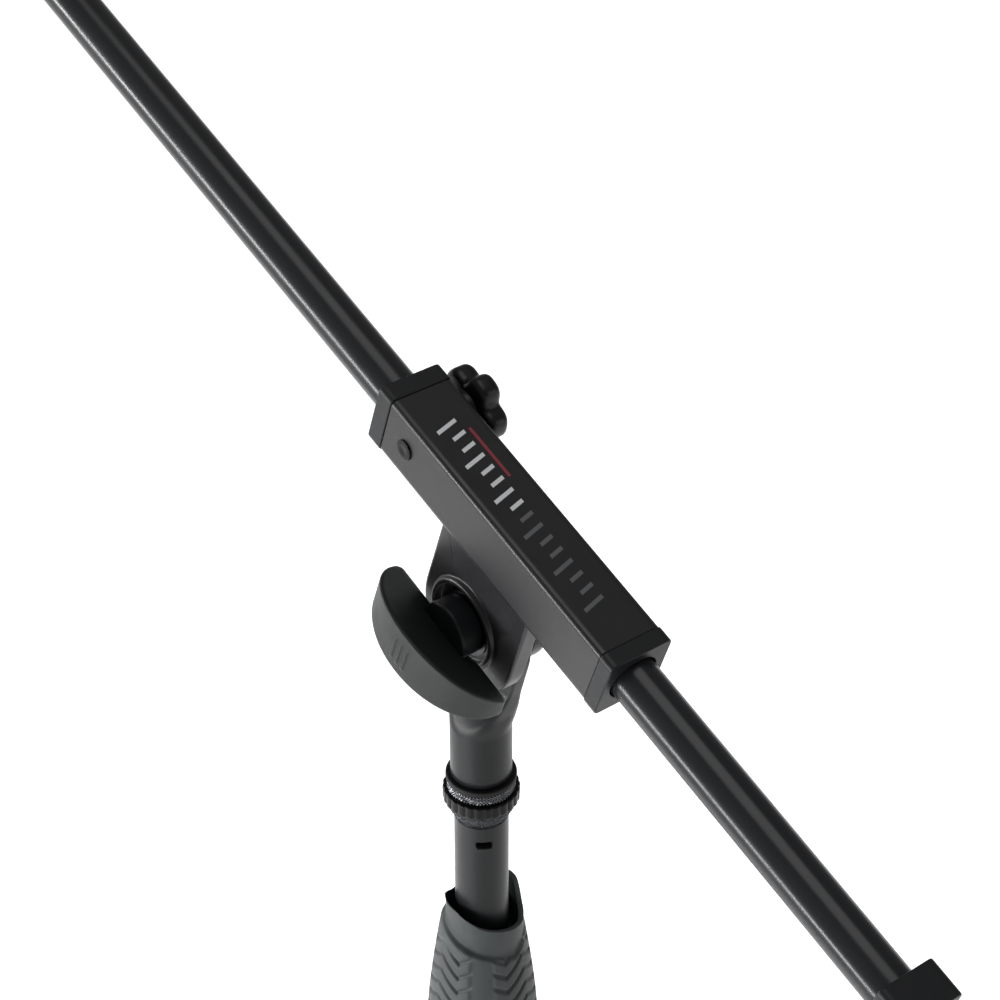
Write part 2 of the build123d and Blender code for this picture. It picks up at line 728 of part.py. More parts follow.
with BuildPart() as clamp_knob:
    with BuildSketch(clamp_plane(knob_face)):
        lobed_profile(clamp_knob_radius, knob_scallop, clamp_knob_lobes)
    extrude(amount=clamp_knob_length)
    fillet(clamp_knob.edges().filter_by(Axis.Y), radius=knob_lobe_edge)
    fillet(clamp_knob.faces().sort_by(Axis.Y)[0].edges(), radius=knob_face_edge)
    with BuildSketch(clamp_plane(knob_neck_face)):
        Circle(clamp_knob_neck_radius)
    extrude(amount=clamp_knob_neck)
    with BuildSketch(clamp_plane(knob_neck_face)):
        Circle(clamp_screw_radius + seat_fit)
    extrude(amount=knob_neck_face - clamp_screw_end, mode=Mode.SUBTRACT)
finish(clamp_knob, "clamp_knob")

# Tilt handle
handle_direction = Vector(cos(radians(handle_angle)), 0, sin(radians(handle_angle)))
handle_normal = Vector(-sin(radians(handle_angle)), 0, cos(radians(handle_angle)))
handle_plane = Plane(
    origin=pivot + Vector(0, handle_inner_face, 0), x_dir=handle_direction, z_dir=handle_normal
)
with BuildPart() as handle_grip:
    with BuildSketch(handle_plane):
        Rectangle(2 * handle_half_span, handle_land, align=(Align.CENTER, Align.MIN))
        with Locations((0, handle_land)):
            Ellipse(handle_half_span, handle_depth)
        Rectangle(
            3 * handle_half_span,
            2 * handle_depth,
            align=(Align.CENTER, Align.MAX),
            mode=Mode.SUBTRACT,
        )
    extrude(amount=handle_thickness / 2, both=True)
    fillet(handle_grip.edges(), radius=handle_edge)
    with BuildSketch(pivot_plane(handle_inner_face)):
        Circle(handle_core_radius + seat_fit)
    extrude(amount=-handle_core_length, mode=Mode.SUBTRACT)
finish(handle_grip, "handle_grip")

with BuildPart() as handle_core:
    with BuildSketch(pivot_plane(handle_inner_face)):
        Circle(handle_core_radius)
    extrude(amount=-handle_core_length)
    with BuildSketch(pivot_plane(handle_inner_face)):
        Circle(handle_hub_radius)
    extrude(amount=handle_inner_face - handle_hub_face)
    with BuildSketch(pivot_plane(handle_hub_face)):
        Circle(pivot_bolt_radius + running_fit)
    extrude(amount=-(bolt_end + body_gap - handle_hub_face), mode=Mode.SUBTRACT)
finish(handle_core, "handle_core")

with BuildPart() as handle_washer:
    with BuildSketch(pivot_plane(handle_washer_face)):
        Circle(handle_hub_radius + handle_washer_rim)
        Circle(pivot_bolt_radius + running_fit, mode=Mode.SUBTRACT)
    extrude(amount=-handle_washer_thickness)
finish(handle_washer, "handle_washer")

# Boom
with BuildPart() as boom_tube:
    with BuildSketch(boom_plane(-boom_rear)):
        Circle(boom_radius)
        Circle(boom_bore, mode=Mode.SUBTRACT)
    extrude(amount=boom_rear + boom_front)
finish(boom_tube, "boom_tube")

stop_rear = boom_rear + stop_end_wall
with BuildPart() as boom_end_stop:
    with BuildSketch(boom_plane(-stop_rear)):
        RectangleRounded(stop_width, stop_height, housing_edge)
    extrude(amount=stop_length)
    with BuildSketch(boom_plane(-boom_rear)):
        Circle(boom_radius + seat_fit)
    extrude(amount=stop_length, mode=Mode.SUBTRACT)
finish(boom_end_stop, "boom_end_stop")

with BuildPart() as mic_fitting:
    with BuildSketch(boom_plane(boom_front - fitting_plug_length)):
        Circle(boom_bore - seat_fit)
    extrude(amount=fitting_plug_length)
    with BuildSketch(boom_plane(boom_front)):
        Circle(fitting_flange_radius)
    extrude(amount=fitting_flange_length)
    with BuildSketch(boom_plane(boom_front + fitting_flange_length)):
        Circle(stud_radius)
    extrude(amount=mic_thread_length)
finish(mic_fitting, "mic_fitting")
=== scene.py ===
import json
import bpy
import numpy as np
from mathutils import Matrix


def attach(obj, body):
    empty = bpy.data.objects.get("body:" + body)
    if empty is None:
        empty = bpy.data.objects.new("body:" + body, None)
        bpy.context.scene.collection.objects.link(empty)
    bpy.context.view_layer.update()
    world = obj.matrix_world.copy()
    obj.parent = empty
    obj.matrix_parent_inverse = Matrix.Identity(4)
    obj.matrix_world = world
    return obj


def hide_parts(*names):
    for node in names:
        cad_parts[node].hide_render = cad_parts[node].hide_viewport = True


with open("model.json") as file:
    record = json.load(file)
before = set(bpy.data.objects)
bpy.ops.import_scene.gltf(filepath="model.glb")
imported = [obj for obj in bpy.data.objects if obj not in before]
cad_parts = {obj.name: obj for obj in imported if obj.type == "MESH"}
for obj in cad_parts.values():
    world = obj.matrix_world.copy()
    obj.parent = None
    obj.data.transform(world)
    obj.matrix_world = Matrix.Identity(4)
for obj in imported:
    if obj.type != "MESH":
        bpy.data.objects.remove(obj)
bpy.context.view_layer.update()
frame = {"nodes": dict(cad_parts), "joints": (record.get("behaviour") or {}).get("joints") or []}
print("frame loaded:", len(frame["nodes"]), "parts")

# where the stand's own axes are, read from its joints
joints = {joint["name"]: joint for joint in frame["joints"]}
mm = 0.001
sideDir = np.array([0.0, 1.0, 0.0])
pivot = np.array(joints["boom_tilt"]["pos_m"])
boomDir = np.array(joints["boom_slide"]["axis"])
boomUp = np.cross(boomDir, sideDir)
clampPoint = np.array(joints["boom_clamp_turn"]["pos_m"])
boomCentre = pivot + boomUp * np.dot(clampPoint - pivot, boomUp)
plugStation = 41.2  # from the pivot to the side plug, along the boom


def axes(origin, xDir, yDir):
    # origin and the three unit directions that a piece's own millimetres are laid along
    return np.array(origin, float), np.array([xDir, yDir, np.cross(xDir, yDir)], float)


def placed(points, at):
    # metres in the stand's frame = origin + x * first direction + y * second + z * third
    return at[0] + (points * mm) @ at[1]


mastAxes = axes((0, 0, 0), (1, 0, 0), (0, 1, 0))
pivotAxes = axes(pivot, (1, 0, 0), (0, 0, -1))  # third direction is +Y, towards the handle
backAxes = axes(pivot, (1, 0, 0), (0, 0, 1))  # third direction is -Y, towards the bolt cover
lugAxes = axes(pivot, boomDir, -boomUp)  # x along the boom, y down from it
boomAxes = axes(boomCentre, sideDir, boomUp)  # third direction runs along the boom
clampAxes = axes(clampPoint * (1, 0, 1), boomDir, boomUp)  # third direction is -Y
plugAxes = axes(boomCentre + boomDir * plugStation * mm, boomDir, -boomUp)  # third direction is +Y
lockAxes = axes((0, 0, joints["hub_lock_turn"]["pos_m"][2]), (0, 1, 0), (0, 0, -1))  # third is -X


def span(node, at, axis=2):
    # lowest and highest place of a CAD part along one of a piece's directions, in millimetres
    corners = frame["nodes"][node].data.vertices
    spots = np.empty(len(corners) * 3, np.float32)
    corners.foreach_get("co", spots)
    along = (spots.reshape(-1, 3) - at[0]) @ at[1][axis] / mm
    return along.min(), along.max()


# surfaces from grids of points

def rounded(corners, closed=False, gap=None):
    # outline through (x, y, radius) corners; a corner C becomes A(1-t)^2 + 2Ct(1-t) + Bt^2,
    # with one more point just outside A and B, so that the flat beside it shades flat
    spots = np.array([corner[:2] for corner in corners], float)
    before, after = np.roll(spots, 1, 0) - spots, np.roll(spots, -1, 0) - spots
    t = np.linspace(0, 1, 6)[:, None]
    line = []
    for i, corner in enumerate(corners):
        radius = corner[2]
        if radius == 0 or (not closed and i in (0, len(corners) - 1)):
            line.append(spots[i : i + 1])
            continue
        lengths = np.linalg.norm(before[i]), np.linalg.norm(after[i])
        radius = min(radius, 0.42 * min(lengths))
        toA, toB = before[i] / lengths[0], after[i] / lengths[1]
        a, b = spots[i] + toA * radius, spots[i] + toB * radius
        curve = a * (1 - t) ** 2 + 2 * spots[i] * t * (1 - t) + b * t**2
        line.append(np.vstack([a + toA * radius * 0.15, curve, b + toB * radius * 0.15]))
    line = np.vstack(line)
    if gap:
        line = finer(line, gap, closed)
    return line


def finer(line, gap, closed=False):
    # the same outline with points added at most a gap apart
    loop = np.vstack([line, line[:1]]) if closed else line
    along = np.append(0, np.cumsum(np.linalg.norm(np.diff(loop, axis=0), axis=1)))
    even = np.linspace(0, along[-1], int(along[-1] / gap) + 2)
    even = even[np.abs(even[:, None] - along).min(1) > gap * 0.3]
    places = np.unique(np.append(along, even))
    if closed:
        places = places[:-1]
    return np.stack([np.interp(places, along, loop[:, 0]), np.interp(places, along, loop[:, 1])], 1)


def gridFaces(rows, cols, joined):
    # quads between neighbouring points of a rows x cols grid whose columns close on themselves
    index = np.arange(rows * cols).reshape(rows, cols)
    index = np.hstack([index, index[:, :1]])
    if joined:
        index = np.vstack([index, index[:1]])
    return np.stack([index[:-1, :-1], index[:-1, 1:], index[1:, 1:], index[1:, :-1]], -1).reshape(-1, 4)


def shell(rings, joined=False):
    # closed surface over rings of points: the last ring joins the first, or each end gets a fan
    rows, cols = rings.shape[:2]
    quads = gridFaces(rows, cols, joined)
    if joined:
        return rings.reshape(-1, 3), quads, np.zeros((0, 3), int)
    around = np.arange(cols)
    onward, last, total = np.roll(around, -1), (rows - 1) * cols, rows * cols
    fans = [np.stack([onward, around, np.full(cols, total)], 1)]
    fans.append(np.stack([around + last, onward + last, np.full(cols, total + 1)], 1))
    return np.vstack([rings.reshape(-1, 3), rings[[0, -1]].mean(1)]), quads, np.vstack(fans)


def turned(profile, cols=96, shift=None):
    # profile of (radius, height) points carried round the third direction; shift(angle, radius, height)
    # is added to the radius
    angle = np.linspace(0, 2 * np.pi, cols, endpoint=False)[None, :]
    radius, height = profile[:, :1] + 0 * angle, profile[:, 1:] + 0 * angle
    if shift is not None:
        radius = radius + shift(angle, radius, height)
    return np.stack([radius * np.cos(angle), radius * np.sin(angle), height], -1)


def insetOutline(outline, insets, share=1.0):
    # outline moved inwards along its own normals, once for each inset; share is how far each point goes
    run = np.roll(outline, -1, 0) - np.roll(outline, 1, 0)
    area = np.sum(outline[:, 0] * np.roll(outline[:, 1], -1) - outline[:, 1] * np.roll(outline[:, 0], -1))
    normal = np.stack([run[:, 1], -run[:, 0]], 1) / np.linalg.norm(run, axis=1)[:, None] * np.sign(area)
    return outline[None] - (normal * np.reshape(share, (-1, 1)))[None] * insets[:, None, None]


def lofted(outline, path, share=1.0):
    # rings of one outline along the third direction: path holds (inset, height) points
    rings = insetOutline(outline, path[:, 0], share)
    height = np.broadcast_to(path[:, 1][:, None, None], rings.shape[:2] + (1,))
    return np.concatenate([rings, height], -1)


def radial(outline, path):
    # circles with one point towards each point of the outline: path holds (radius, height) points
    aim = outline / np.linalg.norm(outline, axis=1)[:, None]
    rings = aim[None] * path[:, 0][:, None, None]
    height = np.broadcast_to(path[:, 1][:, None, None], rings.shape[:2] + (1,))
    return np.concatenate([rings, height], -1)


def piece(name, surfaces, at, material, body, nodes=(), sharp=38):
    # one Blender mesh from (points, quads, triangles) surfaces, turned right side out by its signed volume
    verts, quads, tris, base = [], [], [], 0
    for points, fours, threes in surfaces:
        corners = np.vstack([fours[:, [0, 1, 2]], fours[:, [0, 2, 3]], threes])
        p, q, r = (points[corners[:, i]] for i in range(3))
        inside = np.einsum("ij,ij->i", p, np.cross(q, r)).sum() < 0
        fours, threes = (fours[:, ::-1], threes[:, ::-1]) if inside else (fours, threes)
        verts.append(placed(points, at))
        quads.append(fours + base)
        tris.append(threes + base)
        base += len(points)
    verts, quads, tris = np.vstack(verts), np.vstack(quads), np.vstack(tris)
    mesh = bpy.data.meshes.new(name)
    mesh.vertices.add(len(verts))
    mesh.vertices.foreach_set("co", verts.ravel())
    loops = np.append(quads.ravel(), tris.ravel())
    starts = np.append(np.arange(len(quads)) * 4, len(quads) * 4 + np.arange(len(tris)) * 3)
    mesh.loops.add(len(loops))
    mesh.loops.foreach_set("vertex_index", loops)
    mesh.polygons.add(len(starts))
    mesh.polygons.foreach_set("loop_start", starts)
    mesh.update(calc_edges=True)
    mesh.validate()
    mesh.shade_smooth()
    mesh.set_sharp_from_angle(angle=np.radians(sharp))
    mesh.materials.append(material)
    made = bpy.data.objects.new(name, mesh)
    bpy.context.scene.collection.objects.link(made)
    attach(made, body)
    if nodes:
        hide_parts(*nodes)
    return made


# materials

def linear(hexColour):
    # sRGB hex to linear: c / 12.92 below 0.04045, else ((c + 0.055) / 1.055) ^ 2.4
    c = np.array([int(hexColour[i : i + 2], 16) / 255 for i in (1, 3, 5)])
    return (*np.where(c <= 0.04045, c / 12.92, ((c + 0.055) / 1.055) ** 2.4), 1.0)


def addNode(tree, kind, settings=None, **inputs):
    # one node with its settings; an input is a value, or a socket to link from
    node = tree.nodes.new(kind)
    for key, value in (settings or {}).items():
        setattr(node, key, value)
    for key, value in inputs.items():
        socket = node.inputs[int(key[1:]) if key[1:].isdigit() else key.replace("_", " ")]
        if isinstance(value, bpy.types.NodeSocket):
            tree.links.new(value, socket)
        else:
            socket.default_value = value
    return node


def finish(name, colour, darker, roughness, roughSpread, grain, depth, metallic=0.0, specular=0.5,
           worn=None, grainKind="noise", patch=18):
    # a made surface: colour drifts between two tones over a patch of that many mm, roughness with it,
    # and a grain of the given mm stands depth mm high; worn is the tone of rubbed spots 2.6 mm across
    material = bpy.data.materials.new(name)
    material.use_nodes = True
    tree = material.node_tree
    tree.nodes.clear()
    place = addNode(tree, "ShaderNodeTexCoord").outputs["Object"]
    drift = addNode(tree, "ShaderNodeTexNoise", Vector=place, Scale=1000 / patch, Detail=3.0, Roughness=0.6)
    blend = addNode(tree, "ShaderNodeMix", {"data_type": "RGBA"}, _0=drift.outputs[0], _6=linear(colour),
                    _7=linear(darker))
    tone = blend.outputs[2]
    if worn:
        spots = addNode(tree, "ShaderNodeTexNoise", Vector=place, Scale=1000 / 2.6, Detail=4.0, Roughness=0.7)
        edge = addNode(tree, "ShaderNodeMapRange", _0=spots.outputs[0], _1=0.62, _2=0.72,
                       _3=0.0, _4=0.6)
        tone = addNode(tree, "ShaderNodeMix", {"data_type": "RGBA"}, _0=edge.outputs[0], _6=tone,
                       _7=linear(worn)).outputs[2]
    rough = addNode(tree, "ShaderNodeMapRange", _0=drift.outputs[0], _1=0.3, _2=0.7,
                    _3=roughness - roughSpread, _4=roughness + roughSpread)
    if grainKind == "cells":
        fine = addNode(tree, "ShaderNodeTexVoronoi", Vector=place, Scale=1000 / grain)
    else:
        fine = addNode(tree, "ShaderNodeTexNoise", Vector=place, Scale=1000 / grain, Detail=2.0,
                       Roughness=0.5)
    bump = addNode(tree, "ShaderNodeBump", Height=fine.outputs[0], Distance=depth * mm, Strength=1.0)
    shader = addNode(tree, "ShaderNodeBsdfPrincipled", Base_Color=tone, Roughness=rough.outputs[0],
                     Normal=bump.outputs[0], Metallic=metallic)
    if metallic < 0.5:
        shader.inputs["IOR"].default_value = 1.5
    shader.inputs["Specular IOR Level"].default_value = specular
    addNode(tree, "ShaderNodeOutputMaterial", Surface=shader.outputs[0])
    return material


# powder-coated steel tube: satin black, orange peel about 1.2 mm across, a narrow streak of light
coatedTube = finish("powderCoatedSteelTube", "#1e1f21", "#1a1b1d", 0.24, 0.03, 1.2, 0.005, specular=0.22)
# powder-coated pole that slides in the clutch: a little greyer
coatedPole = finish("powderCoatedSteelPole", "#18191b", "#141517", 0.32, 0.05, 1.0, 0.006, specular=0.18)
# textured powder coat on an aluminium extrusion: fine sand of 0.35 mm
coatedHousing = finish("texturedCoatAluminium", "#19191b", "#151517", 0.34, 0.05, 0.35, 0.01, specular=0.28)
# powder-coated zinc die casting: slight orange peel over a cast skin
coatedCasting = finish("powderCoatedDieCasting", "#17181a", "#131416", 0.35, 0.05, 0.8, 0.012,
                       specular=0.18)
# soft-touch rubber moulded over a core: dull, even skin that greys where it is handled
softRubber = finish("softTouchRubber", "#1a1d1d", "#161818", 0.5, 0.06, 0.3, 0.01, worn="#222626",
                    specular=0.2)
# moulded thermoplastic rubber grip: soft sheen, fine grain of the mould
gripRubber = finish("mouldedGripRubber", "#323737", "#2b2f2f", 0.55, 0.06, 0.35, 0.012, worn="#3b4040",
                    specular=0.3)
# ABS moulded in a spark-eroded tool: fine texture of 0.3 mm
mouldedAbs = finish("sparkErodedAbs", "#18191b", "#141517", 0.42, 0.05, 0.3, 0.012, grainKind="cells",
                    specular=0.18)
# polished ABS: smooth moulding, slightly glossy
glossAbs = finish("polishedAbs", "#0a0a0b", "#080808", 0.28, 0.05, 0.9, 0.004, specular=0.12)
# moulded nylon of the hand knobs: black with a soft shine
knobNylon = finish("mouldedKnobNylon", "#0d0d0e", "#0a0a0b", 0.34, 0.06, 0.5, 0.006, specular=0.22)
# nitrile rubber washer and feet: matt black with bloom
nitrile = finish("mouldedNitrileRubber", "#0c0c0c", "#101010", 0.65, 0.06, 0.4, 0.012, worn="#181818",
                 specular=0.2)
# black nickel on knurled steel: dark metal, bright on the crests
blackNickel = finish("blackNickelSteel", "#3a3b3e", "#2a2b2d", 0.3, 0.06, 0.6, 0.003, metallic=1.0)
# lighter nickel on the small knurled ring
paleNickel = finish("satinNickelSteel", "#5a5b5e", "#434447", 0.24, 0.05, 0.6, 0.003, metallic=1.0)
# bright zinc plate on turned steel: pale, faintly cloudy
zincPlate = finish("zincPlatedSteel", "#a4a6a9", "#8b8d90", 0.32, 0.08, 1.5, 0.004, metallic=1.0, patch=6)
# natural-black nylon bushes and collet: waxy and smooth
nylon = finish("mouldedNylon", "#1c1c1e", "#161618", 0.5, 0.05, 0.5, 0.008)
# woven friction fibre: brown-grey, dull, coarse
fibre = finish("frictionFibre", "#4d443b", "#39332d", 0.85, 0.05, 0.7, 0.05, grainKind="cells")
print("materials made:", len(bpy.data.materials))

# CAD parts that keep their shape take the material of their slot
slotFinish = {
    "base_hub": coatedCasting, "leg_pins": zincPlate, "clutch_sleeve": nylon, "clutch_collet": nylon,
    "clutch_body": mouldedAbs, "pole_bush": nylon, "rear_liner": nylon,
    "front_liner": nylon, "clamp_pad": nylon, "friction_disc": fibre, "handle_washer": blackNickel,
    "leg_tongue_front": coatedCasting, "leg_tongue_left": coatedCasting, "leg_tongue_right": coatedCasting,
    "hub_lock_screw": zincPlate,
}
for nodeName, material in slotFinish.items():
    mesh = frame["nodes"][nodeName].data
    mesh.materials.clear()
    mesh.materials.append(material)


# camera first: it looks down on the clamp head from behind the boom's long end

camera = {"lens": 93.7, "turn": 52.14, "tilt": 35.5, "fromPivot": (-534.3, 407.2, 525.1)}
turn, tilt = np.radians(camera["turn"]), np.radians(camera["tilt"])
back = (-np.sin(turn) * np.cos(tilt), np.cos(turn) * np.cos(tilt), np.sin(tilt))
right = (-np.cos(turn), -np.sin(turn), 0.0)
upward = np.cross(back, right)
cameraData = bpy.data.cameras.new("camera")
cameraData.lens = camera["lens"]
cameraData.sensor_width = 36
cameraData.clip_start, cameraData.clip_end = 0.05, 60
cameraObject = bpy.data.objects.new("camera", cameraData)
bpy.context.scene.collection.objects.link(cameraObject)
rotation = np.eye(4)
rotation[:3, :3] = np.array([right, upward, back]).T
rotation[:3, 3] = pivot + np.array(camera["fromPivot"]) * mm
cameraObject.matrix_world = Matrix(rotation.tolist())
bpy.context.scene.camera = cameraObject
print("camera placed")


# tubes: the profile (radius, height) goes up the outside and down the bore

def tubeRings(start, end, radius, wall, edge=0.4, cols=112):
    corners = [(radius, start, edge), (radius, end, edge), (radius - wall, end, edge),
               (radius - wall, start, edge)]
    return turned(rounded(corners, closed=True, gap=40), cols)


boom = {"radius": 8.0, "wall": 1.2}
boomStart, boomEnd = span("boom_tube", boomAxes)
piece("boomTube", [shell(tubeRings(boomStart, boomEnd, boom["radius"], boom["wall"]), True)], boomAxes,
      coatedTube, "boom", ["boom_tube"])

mast = {"tubeRadius": 11.4, "poleRadius": 9.5, "wall": 1.2}
low, high = span("outer_tube", mastAxes)
piece("outerTube", [shell(tubeRings(low, high, mast["tubeRadius"], mast["wall"]), True)], mastAxes,
      coatedTube, "base", ["outer_tube"])

# inner pole with a crimped slot: the wall goes in by depth * window, and the slot's lower lip stands out
crimp = {"facing": 148.0, "drop": 7.5, "width": 5.2, "height": 1.9, "depth": 3.0, "lip": 0.9, "soft": 0.3}
low, poleTop = span("inner_pole", mastAxes)
slotHeight = poleTop - crimp["drop"]


def crimpShift(angle, radius, height):
    around = (np.mod(angle - np.radians(crimp["facing"]) + np.pi, 2 * np.pi) - np.pi) * mast["poleRadius"]
    up = height - slotHeight
    edge = np.maximum(np.abs(around) / (crimp["width"] / 2), np.abs(up) / (crimp["height"] / 2))
    window = 1 / (1 + np.exp((edge - 1) * 9 / crimp["soft"]))
    lip = np.exp(-((up + crimp["height"] / 2 + 0.5) / 0.45) ** 2) * (np.abs(around) < crimp["width"] / 2)
    return crimp["lip"] * lip * (1 - window) - crimp["depth"] * window


nearSlot = np.linspace(slotHeight - 4, slotHeight + 4, 56)
outer = np.concatenate([[low + 0.4], np.linspace(low + 60, slotHeight - 30, 12), nearSlot, [poleTop - 0.4]])
profile = np.vstack([np.stack([np.full(len(outer), mast["poleRadius"]), outer], 1),
                     [(mast["poleRadius"] - 0.4, poleTop)],
                     np.stack([np.full(len(outer), mast["poleRadius"] - mast["wall"]), outer[::-1]], 1),
                     [(mast["poleRadius"] - 0.4, low)]])
piece("innerPole", [shell(turned(profile, 260, crimpShift), True)], mastAxes, coatedPole, "mast",
      ["inner_pole"])
print("tubes made")


# thread, rings and washer under the swivel

def diamonds(pitch, radius, height):
    # knurl: two sets of crossing ridges, |sin| of angle plus and minus height
    count = round(2 * np.pi * radius / pitch)

    def shift(angle, r, h):
        lean = h / radius
        return -height * (np.abs(np.sin((angle + lean) * count / 2)) ** 0.7
                          + np.abs(np.sin((angle - lean) * count / 2)) ** 0.7) / 2
    return shift


def within(shift, bottom, top):
    # the shift fades out over 0.2 mm at both ends
    def limited(angle, r, h):
        fade = np.clip(np.minimum(h - bottom, top - h) / 0.2, 0, 1)
        return shift(angle, r, h) * fade
    return limited


rings = {"flangeRadius": 12.5, "boreRadius": 7.99, "ribbedRadius": 13.4, "ribs": 26, "ribDepth": 0.42,
         "knurledRadius": 12.2, "washerRadius": 12.3, "knurlPitch": 1.2, "knurlDepth": 0.62}
studLow, studHigh = span("thread_insert", mastAxes)
ribLow, ribHigh = span("ribbed_ring", mastAxes)
nickelLow, nickelHigh = span("knurled_ring", mastAxes)
washerLow, washerHigh = span("socket_washer", mastAxes)
flangeTop = ribLow - 0.3
corners = [(0.01, studLow, 0), (8.2, studLow, 0.5), (8.2, poleTop - 13, 0.3), (5.4, poleTop - 12, 0.3),
           (5.4, poleTop - 3.4, 0.3), (8.2, poleTop - 3, 0.3), (8.2, poleTop, 0.05), (9.6, poleTop, 0.3),
           (rings["flangeRadius"], flangeTop - 1.4, 0.8), (rings["flangeRadius"], flangeTop, 0.3),
           (7.9, flangeTop, 0.05), (7.9, studHigh, 0.8), (0.01, studHigh, 0)]
profile = finer(rounded(corners), 0.28)
coneKnurl = within(diamonds(rings["knurlPitch"], 12, rings["knurlDepth"]), poleTop + 0.3, flangeTop - 0.1)
outside = lambda angle, r, h: np.where(r > 9.3, coneKnurl(angle, r, h), 0)
piece("threadFlange", [shell(turned(profile, 300, outside))], mastAxes, blackNickel, "mast",
      ["thread_insert"], sharp=25)


def ribShift(angle, r, h):
    # ribs: the ring drops by a rib's depth in narrow grooves, and only on its outside
    wave = 0.5 + 0.5 * np.cos(angle * rings["ribs"])
    return np.where(r > rings["ribbedRadius"] - 1.2, -rings["ribDepth"] * (1 - wave**0.35), 0)


def ringSurface(radius, low, high, edge, shift, cols):
    corners = [(radius, low, edge), (radius, high, edge), (rings["boreRadius"], high, 0.2),
               (rings["boreRadius"], low, 0.2)]
    return shell(turned(rounded(corners, closed=True, gap=0.28), cols, shift), True)


piece("ribbedRing", [ringSurface(rings["ribbedRadius"], ribLow, ribHigh, 0.8, ribShift, 360)], mastAxes,
      glossAbs, "lock_ring", ["ribbed_ring"])
ringKnurl = diamonds(rings["knurlPitch"], rings["knurledRadius"], rings["knurlDepth"])
outerOnly = lambda angle, r, h: np.where(r > rings["knurledRadius"] - 0.5, ringKnurl(angle, r, h), 0)
piece("knurledRing", [ringSurface(rings["knurledRadius"], nickelLow, nickelHigh, 0.4, outerOnly, 396)],
      mastAxes, paleNickel, "lock_ring", ["knurled_ring"], sharp=25)
piece("socketWasher", [ringSurface(rings["washerRadius"], washerLow, washerHigh, 0.7, None, 96)],
      mastAxes, nitrile, "swivel_head", ["socket_washer"])
print("rings made")


# swivel: each level is a superellipse |x/a|^n + |y/b|^n = 1 that goes from a round socket to a flat head

swivel = {"socketRadius": 10.65, "socketTop": -46.0, "headRadius": 20.5, "headMiddle": -4.1,
          "headHalf": 3.15, "neckTop": -25.0, "foot": 0.5}
socketLow, headHigh = span("swivel", pivotAxes, 1)
socketLow, headHigh = -headHigh, -socketLow
level = np.concatenate([[socketLow + 0.01, socketLow + 0.12], np.linspace(socketLow + 0.5, -47, 8),
                        np.linspace(-46, -20, 54),
                        swivel["headRadius"] * np.sin(np.linspace(np.radians(-74), np.radians(90), 60))])
level = level[np.argsort(level)]
level = level[np.append(True, np.diff(level) > 0.02)]
down = np.clip((swivel["socketTop"] - level) / (swivel["socketTop"] - swivel["neckTop"]), 0, 1)
ease = down * down * (3 - 2 * down)
# the head plate's sides run from the socket and meet its circle
disc = np.sqrt(np.maximum(swivel["headRadius"] ** 2 - level**2, 0))
side = np.interp(level, [-46, -38, -28, -12, 0], [swivel["socketRadius"], 11.3, 13.6, 18.4, 20.5])
halfWidth = np.where(level > -9, disc, np.where(level < -46, swivel["socketRadius"], side))
halfWidth = np.convolve(np.pad(halfWidth, 2, mode="edge"), np.ones(5) / 5, "valid")
halfWidth[level > 0] = disc[level > 0]
halfDepth = swivel["socketRadius"] * (1 - ease) + swivel["headHalf"] * ease
middle = swivel["headMiddle"] * ease
power = 2 + 5 * ease
foot = np.clip((level - socketLow) / swivel["foot"], 0, 1)
shrink = 1 - 0.05 * (1 - foot) ** 2
theta = np.linspace(0, 2 * np.pi, 144, endpoint=False)[None, :]
c, s = np.cos(theta), np.sin(theta)
round2 = 2 / power[:, None]
x = (halfWidth * shrink)[:, None] * np.sign(c) * np.abs(c) ** round2
y = middle[:, None] + (halfDepth * shrink)[:, None] * np.sign(s) * np.abs(s) ** round2
points = np.stack([x, -level[:, None] + 0 * x, y], -1)
piece("swivelCasting", [shell(points)], pivotAxes, coatedCasting, "swivel_head",
      ["swivel"], sharp=50)

cover = {"radius": 19.6, "edge": 4.0, "dome": 0.8}
low, high = span("bolt_cover", backAxes)
corners = [(0.01, low, 0), (cover["radius"], low, 0.3),
           (cover["radius"], high - cover["dome"], cover["edge"]), (11, high - 0.1, 4), (10, high, 0.4),
           (9.4, high - 0.6, 0.3), (8.6, high - 0.6, 0.3), (8, high, 0.4), (0.01, high, 0)]
piece("boltCover", [shell(turned(finer(rounded(corners), 1.0), 128))], backAxes, glossAbs, "swivel_head",
      ["bolt_cover"])
print("swivel made")


# clamp housing, its lug and its caps

housing = {"width": 23.4, "height": 24.0, "corner": 2.2, "edge": 0.5, "bore": 10.2, "start": -58.7,
           "end": 52.0}


def boxOutline(width, height, corner, gap=1.4):
    w, h = width / 2, height / 2
    return rounded([(w, -h, corner), (w, h, corner), (-w, h, corner), (-w, -h, corner)], closed=True, gap=gap)


def hollowBlock(outline, low, high, edge, bore, boreEdge):
    # outline rings up the outside with rounded ends, then circles down the bore
    skin = lofted(outline, rounded([(edge * 1.7, low, 0), (0, low, edge), (0, high, edge),
                                    (edge * 1.7, high, 0)], gap=6))
    hole = radial(outline, rounded([(bore + 1.2, high, 0), (bore, high, boreEdge), (bore, low, boreEdge),
                                    (bore + 1.2, low, 0)], gap=6))
    return shell(np.concatenate([skin, hole]), True)


outline = boxOutline(housing["width"], housing["height"], housing["corner"])
block = hollowBlock(outline, housing["start"], housing["end"], housing["edge"], housing["bore"], 0.2)
piece("housingBody", [block], boomAxes, coatedHousing, "boom_head", ["clamp_housing"])

